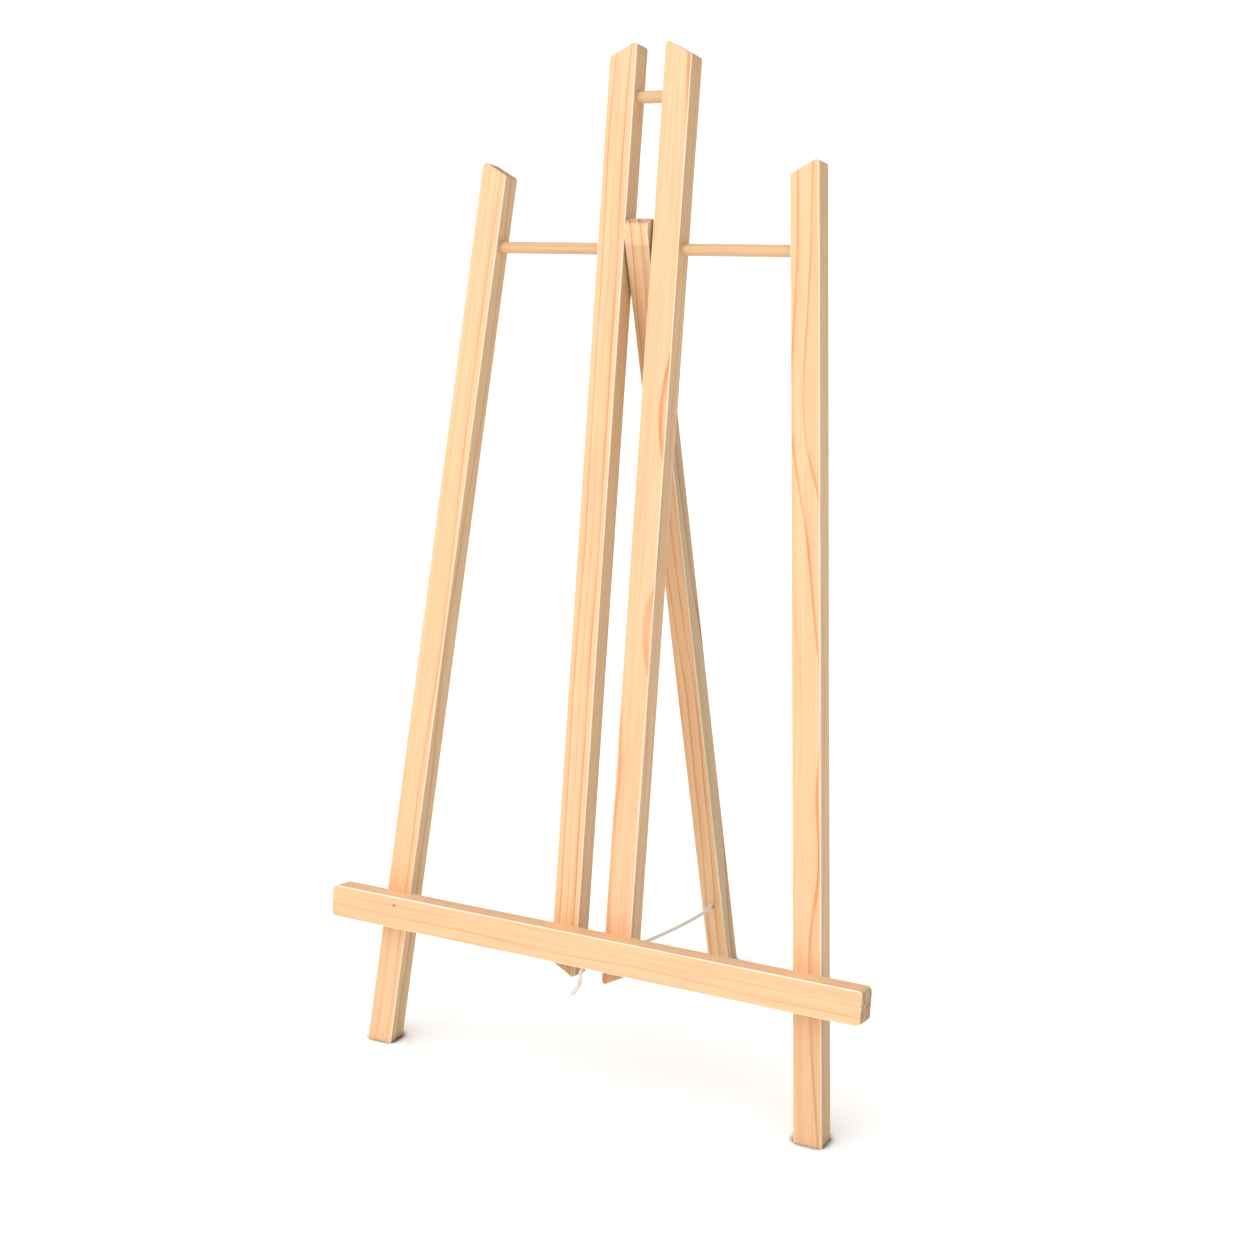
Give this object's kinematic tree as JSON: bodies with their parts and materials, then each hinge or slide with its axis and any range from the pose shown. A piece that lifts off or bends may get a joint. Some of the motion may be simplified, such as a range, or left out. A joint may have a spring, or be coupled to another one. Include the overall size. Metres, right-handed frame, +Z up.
{
  "type": "folding display easel",
  "caption": "Pine display easel with splayed front legs, paired uprights, a ledge bar and a folding rear leg stopped by a cord.",
  "frame": {"origin": "on the floor, below the middle of the box round the open easel", "axes": "+Z up, -Y towards the front where the picture stands, X along the ledge"},
  "size_m": [0.51, 0.298, 0.866],
  "materials": {
    "pine": "bare planed pine with a light satin, eased edges",
    "dowel_wood": "bare sanded softwood dowel",
    "zinc_steel": "bright zinc plate",
    "cord": "off-white braided cotton"
  },
  "bodies": {
    "frame": {"left_leg": "pine", "right_leg": "pine", "left_upright": "pine", "right_upright": "pine", "ledge": "pine", "cross_dowel": "dowel_wood", "top_dowel": "dowel_wood", "ledge_screws": "zinc_steel", "cord_staple": "zinc_steel", "cord": "cord"},
    "rear_leg": {"rear_leg": "pine", "cord_knot": "cord"}
  },
  "joints": [
    {"name": "rear_leg_fold", "type": "hinge", "parent": "frame", "child": "rear_leg", "pos_m": [0, -0.00255, 0.70094], "axis": [-1, 0, 0], "range_deg": [0, 22.2], "deforming": ["cord"]}
  ]
}
